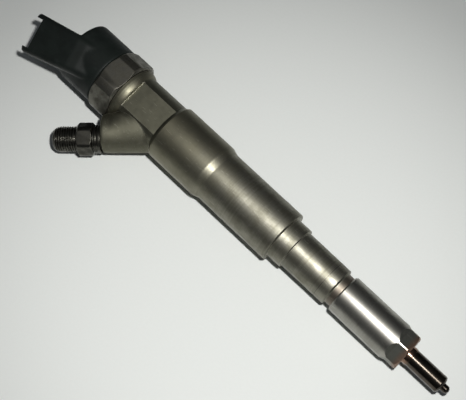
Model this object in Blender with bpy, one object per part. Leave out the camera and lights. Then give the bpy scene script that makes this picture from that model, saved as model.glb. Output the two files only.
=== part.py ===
"""Common-rail diesel fuel injector, lying flat, with its working parts inside.

The frame's origin is the centre of the upper clamping flat, +Z its normal.
The injector's axis runs along X, below the flat, with the nozzle towards +X.
Stations marked "from the seat" run along that axis from the nozzle nut's tip face.
"""

from math import cos, pi, radians, sin

import bmesh
import bpy
from mathutils import Vector

MM = 0.001

# Layout
FLAT_HEIGHT = 9.5 * MM  # injector axis to each clamping flat
SEAT_X = 141.2 * MM  # flat's centre to the nozzle nut's tip face
GAP = 0.05 * MM  # clearance between stacked pieces
OVERSHOOT = 1.0 * MM  # how far a cutter runs past the face it opens
INLET_ANGLE = 43.0  # inlet arm from the injector axis, degrees
INLET_MEET = -126.15 * MM  # where the inlet axis meets the injector axis
CONNECTOR_ANGLE = 15.0  # plug socket from the injector axis, degrees

# Body
NUT_THREAD_R = 7.25 * MM
LOWER_R = 8.45 * MM
STEP_R = 9.5 * MM
MIDDLE_R = 11.65 * MM
UPPER_R = 12.65 * MM
NECK_R = 11.5 * MM
SHOULDER_R = 12.8 * MM
HEAD_THREAD_R = 12.3 * MM
BODY_END = -18.38 * MM
BODY_TOP = -161.7 * MM
FLAT_FROM = -150.55 * MM
FLAT_TO = -131.85 * MM
PLUNGER_BORE_R = 2.3 * MM
SPRING_BORE_R = 3.9 * MM
SPRING_BORE_TOP = -52.5 * MM
STEM_BORE_R = 5.0 * MM
VALVE_BORE_R = 7.2 * MM
ARMATURE_BORE_R = 10.5 * MM
VALVE_FLOOR = -132.83 * MM
VALVE_STEP = -145.43 * MM
ARMATURE_FLOOR = -154.88 * MM
GALLERY_R = 0.9 * MM
GALLERY_OFFSET = 5.5 * MM

# Inlet arm and fitting, measured outwards along the inlet axis
ARM_END = 31.3 * MM
ARM_FORM = (  # mm: station, centre towards the head, half-width, half-height
    (0.0, 2.1, 7.2, 7.0), (9.65, 5.8, 11.0, 9.1), (13.85, 7.0, 12.7, 9.2),
    (18.05, 6.6, 12.3, 9.0), (22.25, 5.4, 11.1, 8.6), (24.9, 3.9, 9.6, 8.3),
    (27.4, 2.6, 8.3, 8.1), (30.1, 2.6, 8.3, 8.1), (31.3, 2.6, 7.1, 6.9))
INLET_BORE_R = 4.2 * MM
INLET_BORE_FROM = 18.05 * MM
INLET_THREAD_R = 5.35 * MM
INLET_OUTER_R = 6.9 * MM
INLET_HEX_AF = 12.6 * MM
INLET_PITCH = 1.0 * MM
INLET_TIP = 51.6 * MM

# Nozzle end
SHAFT_R = 3.8 * MM
COLLAR_R = 3.95 * MM
NOZZLE_NUT_R = 8.5 * MM
NOZZLE_HEX_AF = 15.0 * MM
TIP_END = 20.58 * MM
NOZZLE_TOP = -18.32 * MM
NOZZLE_SHOULDER = -3.47 * MM
SPRAY_HOLES = 6
SPRAY_R = 0.12 * MM

# Head end
HEAD_NUT_AF = 27.0 * MM
HEAD_NUT_R = 14.55 * MM
HEAD_NUT_FROM = -154.56 * MM
HEAD_NUT_TO = -165.27 * MM
HEAD_R = 13.8 * MM
HEAD_TOP = -183.12 * MM
SOCKET_WIDTH = 17.7 * MM
SOCKET_ROOT_WIDTH = 15.75 * MM
SOCKET_HEIGHT = 11.5 * MM
SOCKET_CREST = 2.85 * MM  # near face above the mouth's, where it meets the cap
SOCKET_CORNER = 2.4 * MM
SOCKET_MOUTH = 21.79 * MM
SOCKET_FLOOR = 7.35 * MM
SOCKET_NOTCH = 3.05 * MM
SOCKET_WALL = 1.5 * MM
SOCKET_BACK = 180.6 * MM
SOCKET_SIDE = 3.95 * MM
SOCKET_RISE = 5.3 * MM
PORT_DROP = 6.6 * MM

# Lifts are drawn at rest: needle on its seat, armature down
PLUNGER_R = 2.15 * MM
NEEDLE_R = 2.0 * MM

OUTER_STEPS = 44
INNER_STEPS = 24
FINE_STEPS = 16
INLET_STEPS = 28


def clear_scene():
    for obj in list(bpy.data.objects):
        bpy.data.objects.remove(obj, do_unlink=True)


def material(name, colour, roughness, metallic):
    made = bpy.data.materials.new(name)
    made.use_nodes = True
    shader = made.node_tree.nodes["Principled BSDF"]
    shader.inputs["Base Color"].default_value = (*colour, 1.0)
    shader.inputs["Roughness"].default_value = roughness
    shader.inputs["Metallic"].default_value = metallic
    return made


def empty(name, location, turn_z=0.0):
    made = bpy.data.objects.new(name, None)
    bpy.context.collection.objects.link(made)
    made.location = location
    made.rotation_euler = (0.0, 0.0, radians(turn_z))
    return made


def mesh_object(name, verts, faces, parent):
    mesh = bpy.data.meshes.new(name)
    mesh.from_pydata([tuple(v) for v in verts], [], faces)
    work = bmesh.new()
    work.from_mesh(mesh)
    bmesh.ops.recalc_face_normals(work, faces=work.faces)
    work.to_mesh(mesh)
    work.free()
    obj = bpy.data.objects.new(name, mesh)
    bpy.context.collection.objects.link(obj)
    obj.parent = parent
    return obj


def lathe(name, profile, steps, parent, turn=0.0):
    """Turns a closed (station, radius) outline about the parent's X axis."""
    verts, rings, faces = [], [], []
    for station, radius in profile:
        if radius == 0.0:
            rings.append([len(verts)] * steps)
            verts.append((station, 0.0, 0.0))
            continue
        rings.append(range(len(verts), len(verts) + steps))
        for i in range(steps):
            angle = 2 * pi * i / steps + turn
            verts.append((station, radius * cos(angle), radius * sin(angle)))
    for one, two in zip(rings, rings[1:] + rings[:1]):
        for i in range(steps):
            j = (i + 1) % steps
            corners = list(dict.fromkeys((one[i], one[j], two[j], two[i])))
            if len(corners) > 2:
                faces.append(corners)
    return mesh_object(name, verts, faces, parent)


def prism(name, outline, low, high, parent):
    """A flat outline in the parent's XY plane, raised from low to high."""
    count = len(outline)
    verts = [(x, y, low) for x, y in outline] + [(x, y, high) for x, y in outline]
    faces = [list(range(count)), list(range(count, 2 * count))]
    for i in range(count):
        j = (i + 1) % count
        faces.append([i, j, count + j, count + i])
    return mesh_object(name, verts, faces, parent)


def block(name, low, high, parent):
    outline = [(low[0], low[1]), (high[0], low[1]), (high[0], high[1]), (low[0], high[1])]
    return prism(name, outline, low[2], high[2], parent)


def rod(name, start, end, radius, steps, parent):
    """A straight round bar between two points of the parent's space."""
    start, end = Vector(start), Vector(end)
    way = (end - start).normalized()
    side = way.orthogonal().normalized()
    other = way.cross(side)
    verts = []
    for centre in (start, end):
        for i in range(steps):
            angle = 2 * pi * i / steps
            verts.append(centre + radius * (cos(angle) * side + sin(angle) * other))
    faces = [list(range(steps)), list(range(steps, 2 * steps))]
    for i in range(steps):
        j = (i + 1) % steps
        faces.append([i, j, steps + j, steps + i])
    return mesh_object(name, verts, faces, parent)


def hexagon(name, across_flats, low, high, parent, turn=0.0):
    """A hexagonal bar along X; with no turn, a corner faces +Z."""
    radius = across_flats / 2 / cos(pi / 6)
    return lathe(name, [(low, 0.0), (low, radius), (high, radius), (high, 0.0)], 6,
                 parent, pi / 2 + radians(turn))


def combine(obj, tool, operation):
    """Applies a Boolean with a helper piece, then hides the helper."""
    tool.hide_render = True
    tool.display_type = "WIRE"
    step = obj.modifiers.new(tool.name, "BOOLEAN")
    step.operation = operation
    step.solver = "EXACT"
    step.object = tool
    return obj


def cut(obj, *tools):
    for tool in tools:
        combine(obj, tool, "DIFFERENCE")
    return obj


def join(obj, *tools):
    for tool in tools:
        combine(obj, tool, "UNION")
    return obj


def keep(obj, tool):
    return combine(obj, tool, "INTERSECT")


def finish(obj, look, smooth=30.0):
    obj.data.materials.clear()
    obj.data.materials.append(look)
    for face in obj.data.polygons:
        face.use_smooth = True
    obj.data.set_sharp_from_angle(angle=radians(smooth))
    return obj


def thread(start, end, crest, root, pitch):
    """Outline points of a thread drawn as rings, from start to end."""
    points = []
    for i in range(int((end - start) / pitch)):
        at = start + i * pitch
        points += [(at, root), (at + 0.35 * pitch, crest), (at + 0.65 * pitch, crest)]
    return points + [(start + int((end - start) / pitch) * pitch, root)]


def spring(name, start, end, mean_r, wire_r, turns, parent, look, per_turn=12, sides=5):
    """A round-wire coil along the parent's X axis with a flat cap on each end."""
    verts, faces = [], []
    count = int(turns * per_turn)
    low, high = start + wire_r, end - wire_r
    for i in range(count + 1):
        share = i / count
        angle = 2 * pi * turns * share
        out = Vector((0.0, cos(angle), sin(angle)))
        centre = mean_r * out + Vector((low + (high - low) * share, 0.0, 0.0))
        for k in range(sides):
            around = 2 * pi * k / sides
            verts.append(centre + wire_r * (cos(around) * out
                                            + sin(around) * Vector((1.0, 0.0, 0.0))))
    for i in range(count):
        for k in range(sides):
            j = (k + 1) % sides
            a, b = i * sides, (i + 1) * sides
            faces.append([a + k, a + j, b + j, b + k])
    faces.append(list(range(sides)))
    faces.append(list(range(count * sides, (count + 1) * sides)))
    return finish(mesh_object(name, verts, faces, parent), look)


def ring(name, low, high, inner, outer, parent, look, steps=INNER_STEPS, ease=0.0):
    """A plain ring, its outer corners eased where a size is given."""
    profile = [(low, inner), (low, outer - ease), (low + ease, outer),
               (high - ease, outer), (high, outer - ease), (high, inner)]
    if ease == 0.0:
        profile = [(low, inner), (low, outer), (high, outer), (high, inner)]
    return finish(lathe(name, profile, steps, parent), look)


def oring(name, station, mean_r, wire_r, parent, look, steps=INNER_STEPS, sides=8):
    profile = [(station + wire_r * cos(2 * pi * i / sides),
                mean_r + wire_r * sin(2 * pi * i / sides)) for i in range(sides)]
    return finish(lathe(name, profile, steps, parent), look)


def rounded(width, height, corner, points=4, shift=0.0, extra=0.0):
    """A rounded rectangle's outline as (y, z) pairs, its top side raised by extra."""
    outline = []
    for k in range(4):
        cy = shift + (width / 2 - corner) * (1, -1, -1, 1)[k]
        cz = (height / 2 - corner) * (1, 1, -1, -1)[k] + extra * (1, 1, 0, 0)[k]
        for i in range(points + 1):
            angle = pi / 2 * (k + i / points)
            outline.append((cy + corner * cos(angle), cz + corner * sin(angle)))
    return outline


def oval(centre, half_width, half_height, points=32):
    """An ellipse's outline as (y, z) pairs."""
    return [(centre + half_width * cos(2 * pi * i / points),
             half_height * sin(2 * pi * i / points)) for i in range(points)]


def loft(name, sections, parent):
    """Carries (y, z) outlines of one point count through stations along X."""
    count = len(sections[0][1])
    last = count * (len(sections) - 1)
    verts = [(station, y, z) for station, outline in sections for y, z in outline]
    faces = [list(range(count)), list(range(last, last + count))]
    for start in range(0, last, count):
        for i in range(count):
            j = (i + 1) % count
            faces.append([start + i, start + j, start + count + j, start + count + i])
    return mesh_object(name, verts, faces, parent)


clear_scene()
axis = empty("injector_axis", (SEAT_X, 0.0, -FLAT_HEIGHT))
inlet_axis = empty("inlet_axis", (SEAT_X + INLET_MEET, 0.0, -FLAT_HEIGHT),
                   180.0 + INLET_ANGLE)
socket_axis = empty("socket_axis",
                    (SEAT_X - SOCKET_BACK, -SOCKET_SIDE, -FLAT_HEIGHT + SOCKET_RISE),
                    180.0 + CONNECTOR_ANGLE)

steel = material("satin_steel", (0.42, 0.41, 0.37), 0.38, 1.0)
ground = material("ground_steel", (0.62, 0.62, 0.60), 0.22, 1.0)
oxidised = material("oxidised_steel", (0.12, 0.10, 0.09), 0.42, 1.0)
fitting_steel = material("dark_fitting_steel", (0.20, 0.19, 0.17), 0.40, 1.0)
nut_steel = material("brown_nut_steel", (0.34, 0.32, 0.29), 0.45, 1.0)
spring_steel = material("spring_steel", (0.35, 0.35, 0.36), 0.35, 1.0)
core_iron = material("soft_iron", (0.28, 0.28, 0.28), 0.60, 1.0)
winding = material("enamelled_copper", (0.55, 0.22, 0.10), 0.40, 1.0)
black = material("black_plastic", (0.02, 0.024, 0.022), 0.45, 0.0)
nylon = material("natural_plastic", (0.55, 0.52, 0.44), 0.55, 0.0)
tin = material("tinned_brass", (0.66, 0.64, 0.58), 0.30, 1.0)
rubber = material("seal_rubber", (0.03, 0.03, 0.03), 0.75, 0.0)
bearing = material("valve_ball_steel", (0.75, 0.75, 0.76), 0.12, 1.0)

# Injector body: turned outside, forged inlet arm, two clamping flats
body = lathe("injector_body", [
    (BODY_END, 0.0), (BODY_END, NUT_THREAD_R - 0.5 * MM),
    (BODY_END - 0.5 * MM, NUT_THREAD_R), (-37.17 * MM, NUT_THREAD_R),
    (-37.17 * MM, LOWER_R - 0.4 * MM), (-37.59 * MM, LOWER_R), (-57.75 * MM, LOWER_R),
    (-59.43 * MM, LOWER_R + 0.1 * MM), (-59.54 * MM, STEP_R - 0.2 * MM),
    (-59.75 * MM, STEP_R), (-66.26 * MM, STEP_R), (-66.36 * MM, MIDDLE_R - 0.3 * MM),
    (-66.68 * MM, MIDDLE_R),
    (-103.01 * MM, MIDDLE_R), (-105.95 * MM, UPPER_R), (-130.2 * MM, UPPER_R),
    (FLAT_TO, NECK_R), (-150.15 * MM, NECK_R), (-150.99 * MM, NECK_R + 0.5 * MM),
    (-152.15 * MM, NECK_R + 1.05 * MM), (-153.3 * MM, SHOULDER_R),
    (BODY_TOP, SHOULDER_R), (BODY_TOP, 0.0)], OUTER_STEPS, axis)
join(body, loft("arm_form", [
    (station * MM, oval(-shift * MM, width * MM, height * MM))
    for station, shift, width, height in ARM_FORM], inlet_axis))
cut(body, lathe("nut_relief", [
    (-154.46 * MM, HEAD_THREAD_R), (-154.46 * MM, 24.0 * MM), (-168.0 * MM, 24.0 * MM),
    (-168.0 * MM, HEAD_THREAD_R - 1.6 * MM), (BODY_TOP - OVERSHOOT, HEAD_THREAD_R - 1.6 * MM),
    (BODY_TOP + 0.6 * MM, HEAD_THREAD_R)], OUTER_STEPS, axis))
for side in (1, -1):
    cut(body, block("flat_cut", (FLAT_FROM, -MIDDLE_R, min(side, side * 2) * FLAT_HEIGHT),
                    (FLAT_TO, MIDDLE_R, max(side, side * 2) * FLAT_HEIGHT), axis))
cut(body,
    lathe("spring_bore", [
        (BODY_END + OVERSHOOT, 0.0), (BODY_END + OVERSHOOT, SPRING_BORE_R),
        (SPRING_BORE_TOP, SPRING_BORE_R), (SPRING_BORE_TOP, PLUNGER_BORE_R),
        (VALVE_FLOOR, PLUNGER_BORE_R), (VALVE_FLOOR, STEM_BORE_R),
        (VALVE_STEP, STEM_BORE_R), (VALVE_STEP, VALVE_BORE_R),
        (ARMATURE_FLOOR, VALVE_BORE_R), (ARMATURE_FLOOR, ARMATURE_BORE_R),
        (BODY_TOP - OVERSHOOT, ARMATURE_BORE_R), (BODY_TOP - OVERSHOOT, 0.0)],
        INNER_STEPS, axis),
    lathe("inlet_bore", [
        (6.29 * MM, 0.0), (6.29 * MM, 1.1 * MM), (INLET_BORE_FROM, 1.1 * MM),
        (INLET_BORE_FROM, INLET_BORE_R), (ARM_END + OVERSHOOT, INLET_BORE_R),
        (ARM_END + OVERSHOOT, 0.0)], INLET_STEPS, inlet_axis),
    join(rod("feed_gallery", (BODY_END + OVERSHOOT, 0.0, GALLERY_OFFSET),
             (-129.15 * MM, 0.0, GALLERY_OFFSET), GALLERY_R, 10, axis),
         rod("feed_link", (-127.89 * MM, 0.5 * MM, GALLERY_OFFSET + 0.2 * MM),
             (-132.09 * MM, -4.45 * MM, 0.0), 0.75 * MM, 9, axis),
         rod("valve_feed", (-131.2 * MM, -4.1 * MM, 0.0),
             (VALVE_FLOOR - OVERSHOOT, -4.1 * MM, 0.0), 0.7 * MM, 10, axis)),
    rod("return_gallery", (ARMATURE_FLOOR - OVERSHOOT, 8.85 * MM, 0.0),
        (-50.4 * MM, 3.4 * MM, 0.0), 0.7 * MM, 10, axis))
for side in (1, -1):
    cut(body, rod("dowel_hole", (BODY_END + OVERSHOOT, 5.6 * MM * side, 0.0),
                  (BODY_END - 3.0 * MM, 5.6 * MM * side, 0.0), 0.86 * MM, 10, axis))
finish(body, steel)

# Nozzle retaining nut: round, hexagonal at the tip end
nut = lathe("nozzle_nut", [
    (-34.13 * MM, 7.45 * MM), (-34.13 * MM, NOZZLE_NUT_R - 0.5 * MM),
    (-33.6 * MM, NOZZLE_NUT_R), (-0.95 * MM, NOZZLE_NUT_R),
    (-0.32 * MM, 7.7 * MM), (0.0, 7.1 * MM),
    (0.0, 4.1 * MM), (NOZZLE_SHOULDER + GAP, 4.1 * MM),
    (NOZZLE_SHOULDER + GAP, 7.2 * MM), (-17.85 * MM, 7.2 * MM),
    (-17.85 * MM, 7.45 * MM)], OUTER_STEPS, axis)
hex_corner = NOZZLE_HEX_AF / 2 / cos(pi / 6)
hex_runout = hex_corner + 1.5 * MM / cos(pi / 6)  # the flats rise out of the round
finish(keep(nut, lathe("nozzle_hex", [
    (-35.7 * MM, 0.0), (-35.7 * MM, hex_runout), (-8.4 * MM, hex_runout),
    (-5.2 * MM, hex_corner), (OVERSHOOT, hex_corner), (OVERSHOOT, 0.0)],
    6, axis, pi / 2)), ground)

# Nozzle body with its needle guide, pressure chamber, sac and spray holes
nozzle = lathe("nozzle_body", [
    (NOZZLE_TOP, NEEDLE_R + GAP), (NOZZLE_TOP, 7.05 * MM), (-4.52 * MM, 7.05 * MM),
    (NOZZLE_SHOULDER, 6.2 * MM), (NOZZLE_SHOULDER, COLLAR_R), (1.89 * MM, COLLAR_R),
    (2.1 * MM, SHAFT_R), (16.7 * MM, SHAFT_R), (17.43 * MM, 2.9 * MM),
    (17.64 * MM, 1.65 * MM), (19.53 * MM, 1.6 * MM),
    (20.21 * MM, 1.15 * MM), (TIP_END, 0.45 * MM), (TIP_END, 0.0),
    (19.85 * MM, 0.0), (19.64 * MM, 0.5 * MM), (17.75 * MM, 0.5 * MM),
    (16.7 * MM, 1.1 * MM), (15.33 * MM, 2.3 * MM), (-8.4 * MM, 2.3 * MM),
    (-9.87 * MM, 3.0 * MM), (-11.97 * MM, 3.0 * MM), (-12.81 * MM, NEEDLE_R + GAP)],
    INNER_STEPS, axis)
cut(nozzle, rod("nozzle_feed", (NOZZLE_TOP - OVERSHOOT, 0.0, 5.63 * MM),
                (-10.71 * MM, 0.0, 2.5 * MM), 0.8 * MM, 10, axis))
for i in range(SPRAY_HOLES):
    way = 2 * pi * (i + 0.25) / SPRAY_HOLES
    cut(nozzle, rod("spray_hole", (18.9 * MM, 0.0, 0.0),
                    (19.64 * MM, 2.4 * MM * cos(way), 2.4 * MM * sin(way)),
                    SPRAY_R, 6, axis))
for side in (1, -1):
    cut(nozzle, rod("nozzle_dowel_hole", (NOZZLE_TOP - OVERSHOOT, 5.6 * MM * side, 0.0),
                    (NOZZLE_TOP + 2.6 * MM, 5.6 * MM * side, 0.0), 0.86 * MM, 10, axis))
finish(nozzle, oxidised)

for side, name in ((1, "dowel_pin_a"), (-1, "dowel_pin_b")):
    finish(rod(name, (-21.32 * MM, 5.6 * MM * side, 0.0), (-16.12 * MM, 5.6 * MM * side, 0.0),
               0.8 * MM, 10, axis), ground)

finish(lathe("nozzle_needle", [
    (-23.73 * MM, 0.0), (-23.73 * MM, 1.3 * MM), (-23.52 * MM, 1.5 * MM),
    (-19.53 * MM, 1.5 * MM), (-19.53 * MM, NEEDLE_R), (-12.5 * MM, NEEDLE_R),
    (-11.45 * MM, 1.4 * MM), (14.6 * MM, 1.4 * MM), (16.38 * MM, 1.05 * MM),
    (17.64 * MM, 0.3 * MM), (17.75 * MM, 0.0)], INNER_STEPS, axis), ground)
ring("needle_spring_seat", -22.47 * MM, -19.58 * MM, 1.55 * MM, 3.7 * MM, axis, ground,
     ease=0.3 * MM)
spring("nozzle_spring", -51.45 * MM, -22.58 * MM, 2.95 * MM, 0.75 * MM, 7.0, axis,
       spring_steel)
ring("nozzle_spring_shim", -52.45 * MM, -51.56 * MM, 2.0 * MM, 3.7 * MM, axis, ground)
finish(lathe("control_plunger", [
    (-23.78 * MM, 0.0), (-23.78 * MM, 1.2 * MM), (-24.15 * MM, 1.5 * MM),
    (-54.08 * MM, 1.5 * MM), (-55.65 * MM, 2.0 * MM), (-130.99 * MM, 2.0 * MM),
    (-131.88 * MM, PLUNGER_R), (-143.96 * MM, PLUNGER_R), (-144.38 * MM, 1.7 * MM),
    (-144.38 * MM, 0.0)], INNER_STEPS, axis), ground)

# Inlet fitting with its bar filter
fitting = lathe("inlet_fitting", [
    (19.1 * MM, 2.7 * MM), (19.1 * MM, 3.7 * MM), (19.62 * MM, INLET_BORE_R - GAP),
    (ARM_END + 0.2 * MM, INLET_BORE_R - GAP), (ARM_END + 0.2 * MM, 5.9 * MM),
    (32.64 * MM, 5.9 * MM), (32.86 * MM, 5.4 * MM), (33.27 * MM, 5.4 * MM),
    (33.48 * MM, 5.9 * MM), (34.01 * MM, 5.9 * MM), (34.22 * MM, 5.4 * MM),
    (34.64 * MM, 5.4 * MM), (34.85 * MM, 6.0 * MM), (35.48 * MM, INLET_OUTER_R),
    (40.8 * MM, INLET_OUTER_R), (41.3 * MM, 6.0 * MM), (41.4 * MM, 4.75 * MM),
    *thread(42.2 * MM, 49.25 * MM, INLET_THREAD_R, 4.75 * MM, INLET_PITCH),
    (49.5 * MM, 5.1 * MM), (INLET_TIP - 1.1 * MM, 4.75 * MM),
    (INLET_TIP - 0.4 * MM, 4.3 * MM), (INLET_TIP, 3.9 * MM), (INLET_TIP, 3.0 * MM),
    (INLET_TIP - 3.0 * MM, 1.5 * MM), (40.1 * MM, 1.5 * MM), (39.68 * MM, 2.7 * MM)],
    INLET_STEPS, inlet_axis)
keep(fitting, join(
    hexagon("inlet_hex", INLET_HEX_AF, 34.5 * MM, 41.6 * MM, inlet_axis, 20.0),
    lathe("inlet_round", [
        (18.05 * MM, 0.0), (18.05 * MM, 9.0 * MM), (34.74 * MM, 9.0 * MM),
        (34.85 * MM, 5.9 * MM), (34.85 * MM, 0.0)], INLET_STEPS, inlet_axis),
    lathe("inlet_end", [
        (41.25 * MM, 0.0), (41.25 * MM, 5.9 * MM), (41.35 * MM, 7.6 * MM),
        (55.85 * MM, 7.6 * MM), (55.85 * MM, 0.0)], INLET_STEPS, inlet_axis)))
finish(fitting, fitting_steel)
bar_filter = finish(lathe("inlet_bar_filter", [
    (20.15 * MM, 0.0), (20.15 * MM, 2.2 * MM), (20.57 * MM, 2.55 * MM),
    (39.26 * MM, 2.55 * MM), (39.26 * MM, 0.0)], INNER_STEPS, inlet_axis), ground)
for i in range(4):
    way = pi / 2 * i
    cut(bar_filter, rod("filter_slot", (21.73 * MM, 2.6 * MM * cos(way), 2.6 * MM * sin(way)),
                        (41.15 * MM, 2.6 * MM * cos(way), 2.6 * MM * sin(way)), 0.5 * MM, 6,
                        inlet_axis))

# Control valve: valve body, seal ring, clamp nut, ball and its holder
valve = lathe("valve_body", [
    (-133.46 * MM, PLUNGER_R + GAP), (-133.46 * MM, 4.1 * MM), (-133.77 * MM, 4.4 * MM),
    (-145.48 * MM, 4.4 * MM), (-145.48 * MM, 6.9 * MM), (-149.63 * MM, 6.9 * MM),
    (-149.63 * MM, 0.75 * MM), (-149.21 * MM, 0.3 * MM), (-146.79 * MM, 0.3 * MM),
    (-146.06 * MM, PLUNGER_R + GAP)], INNER_STEPS, axis)
cut(valve, rod("inlet_throttle", (-145.01 * MM, 0.0, -5.0 * MM),
               (-145.01 * MM, 0.0, -1.6 * MM), 0.25 * MM, 8, axis))
finish(valve, ground)
ring("valve_seal_ring", -136.61 * MM, -134.51 * MM, 4.45 * MM, 4.95 * MM, axis, nylon)
clamp = lathe("valve_clamp_nut", [
    (-149.68 * MM, 4.6 * MM), (-149.68 * MM, 6.8 * MM), (-149.99 * MM, 7.1 * MM),
    (-154.25 * MM, 7.1 * MM), (-154.25 * MM, 4.6 * MM)], INNER_STEPS, axis)
cut(clamp, hexagon("clamp_key", 10.4 * MM, -155.3 * MM, -151.2 * MM, axis))
finish(clamp, ground)
finish(lathe("valve_ball", [
    (-149.94 * MM + 0.67 * MM * cos(pi * i / 8), 0.67 * MM * sin(pi * i / 8))
    if 0 < i < 8 else (-149.94 * MM + (0.67 * MM if i == 0 else -0.67 * MM), 0.0)
    for i in range(9)], FINE_STEPS, axis), bearing)
finish(lathe("ball_holder", [
    (-150.2 * MM, 0.8 * MM), (-150.2 * MM, 1.6 * MM), (-150.89 * MM, 2.4 * MM),
    (-151.73 * MM, 2.4 * MM), (-151.73 * MM, 1.2 * MM), (-152.36 * MM, 1.2 * MM),
    (-152.36 * MM, 0.0), (-150.78 * MM, 0.0), (-150.78 * MM, 0.45 * MM)],
    FINE_STEPS, axis), ground)

# Two-piece armature on its guide
guide = lathe("armature_guide", [
    (-152.99 * MM, 1.6 * MM), (-152.99 * MM, 3.0 * MM), (-154.93 * MM, 3.0 * MM),
    (-154.93 * MM, 10.4 * MM), (-156.35 * MM, 10.4 * MM), (-156.35 * MM, 3.0 * MM),
    (-158.24 * MM, 3.0 * MM), (-158.24 * MM, 1.6 * MM)], INNER_STEPS, axis)
for i in range(4):
    way = pi / 4 + pi / 2 * i
    cut(guide, rod("guide_hole", (-153.83 * MM, 6.3 * MM * cos(way), 6.3 * MM * sin(way)),
                   (-157.4 * MM, 6.3 * MM * cos(way), 6.3 * MM * sin(way)),
                   1.1 * MM, 10, axis))
finish(guide, ground)
finish(lathe("armature_bolt", [
    (-152.41 * MM, 0.0), (-152.41 * MM, 1.3 * MM), (-152.62 * MM, 1.55 * MM),
    (-162.75 * MM, 1.55 * MM), (-162.75 * MM, 1.15 * MM), (-163.33 * MM, 1.15 * MM),
    (-163.33 * MM, 1.55 * MM), (-164.43 * MM, 1.55 * MM), (-164.64 * MM, 1.25 * MM),
    (-164.64 * MM, 0.0)], INNER_STEPS, axis), ground)
plate = lathe("armature_plate", [
    (-160.55 * MM, 1.6 * MM), (-160.55 * MM, 3.2 * MM), (-161.18 * MM, 3.6 * MM),
    (-161.18 * MM, 8.6 * MM), (-162.7 * MM, 8.6 * MM), (-162.7 * MM, 1.6 * MM)],
    INNER_STEPS, axis)
for i in range(4):
    way = pi / 4 + pi / 2 * i
    cut(plate, rod("plate_slot", (-161.91 * MM, 5.4 * MM * cos(way), 5.4 * MM * sin(way)),
                   (-161.91 * MM, 9.4 * MM * cos(way), 9.4 * MM * sin(way)),
                   1.0 * MM, 4, axis))
finish(plate, core_iron)
ring("overtravel_shim", -158.71 * MM, -158.29 * MM, 1.65 * MM, 2.95 * MM, axis, ground)
spring("overtravel_spring", -160.49 * MM, -158.76 * MM, 2.3 * MM, 0.22 * MM, 2.0, axis,
       spring_steel)
clip = lathe("armature_clip", [
    (-162.8 * MM, 1.2 * MM), (-162.8 * MM, 2.7 * MM), (-163.28 * MM, 2.7 * MM),
    (-163.28 * MM, 1.2 * MM)], INNER_STEPS, axis)
cut(clip, block("clip_mouth", (-163.7 * MM, 0.0, -1.2 * MM),
                (-162.23 * MM, 3.5 * MM, 1.2 * MM), axis))
finish(clip, spring_steel)

# Solenoid: core, coil, sleeve, lift shim, closing spring, return tube
ring("lift_shim", -162.59 * MM, -161.75 * MM, 10.55 * MM, 12.2 * MM, axis, ground)
core = lathe("magnet_core", [
    (-163.38 * MM, 3.0 * MM), (-163.38 * MM, 5.2 * MM), (-169.26 * MM, 5.2 * MM),
    (-169.26 * MM, 8.2 * MM), (-163.38 * MM, 8.2 * MM), (-163.38 * MM, 10.25 * MM),
    (-173.46 * MM, 10.25 * MM), (-173.46 * MM, 3.0 * MM)], INNER_STEPS, axis)
sleeve = lathe("magnet_sleeve", [
    (-162.65 * MM, 10.35 * MM), (-162.65 * MM, 12.2 * MM), (-164.12 * MM, 12.2 * MM),
    (-164.12 * MM, 11.3 * MM), (-174.3 * MM, 11.3 * MM), (-174.88 * MM, 10.7 * MM),
    (-174.88 * MM, 3.4 * MM), (-173.57 * MM, 3.4 * MM), (-173.57 * MM, 10.35 * MM)],
    32, axis)
for side in (1, -1):
    cut(core, rod("core_hole", (-168.05 * MM, 6.7 * MM * side, 0.0),
                  (-174.41 * MM, 6.7 * MM * side, 0.0), 1.0 * MM, 10, axis))
    cut(sleeve, rod("sleeve_hole", (-172.73 * MM, 6.7 * MM * side, 0.0),
                    (-175.88 * MM, 6.7 * MM * side, 0.0), 1.3 * MM, 10, axis))
finish(core, core_iron)
finish(sleeve, steel)
finish(lathe("coil_bobbin", [
    (-163.64 * MM, 5.3 * MM), (-163.64 * MM, 8.1 * MM), (-164.12 * MM, 8.1 * MM),
    (-164.12 * MM, 5.9 * MM), (-168.53 * MM, 5.9 * MM), (-168.53 * MM, 8.1 * MM),
    (-169.0 * MM, 8.1 * MM), (-169.0 * MM, 5.3 * MM)], INNER_STEPS, axis), nylon)
ring("coil_winding", -168.47 * MM, -164.17 * MM, 6.0 * MM, 7.9 * MM, axis, winding,
     ease=0.4 * MM)
spring("solenoid_spring", -172.1 * MM, -164.75 * MM, 1.85 * MM, 0.45 * MM, 6.0, axis,
       spring_steel)
ring("solenoid_spring_shim", -172.88 * MM, -172.2 * MM, 0.9 * MM, 2.85 * MM, axis, ground)
finish(lathe("return_tube", [
    (-172.94 * MM, 1.6 * MM), (-172.94 * MM, 2.85 * MM), (-177.24 * MM, 2.85 * MM),
    (-177.45 * MM, 2.65 * MM), (-177.45 * MM, 1.6 * MM)], INNER_STEPS, axis), ground)
oring("return_seal", -175.98 * MM, 3.5 * MM, 0.58 * MM, axis, rubber)
oring("head_seal", -167.21 * MM, 11.97 * MM, 0.6 * MM, axis, rubber, 32)

# Union nut that clamps the solenoid onto the body
union = lathe("solenoid_nut", [
    (-154.61 * MM, 12.45 * MM), (HEAD_NUT_FROM - GAP, 13.5 * MM),
    (HEAD_NUT_FROM - 0.9 * MM, HEAD_NUT_R), (HEAD_NUT_TO + 1.1 * MM, HEAD_NUT_R),
    (HEAD_NUT_TO, HEAD_NUT_R - 1.1 * MM), (HEAD_NUT_TO, 11.5 * MM),
    (-164.17 * MM, 11.5 * MM), (-164.17 * MM, 12.45 * MM)], OUTER_STEPS, axis)
finish(keep(union, hexagon("union_hex", HEAD_NUT_AF, -152.8 * MM, -167.3 * MM, axis, 25.0)),
       nut_steel)

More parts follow.
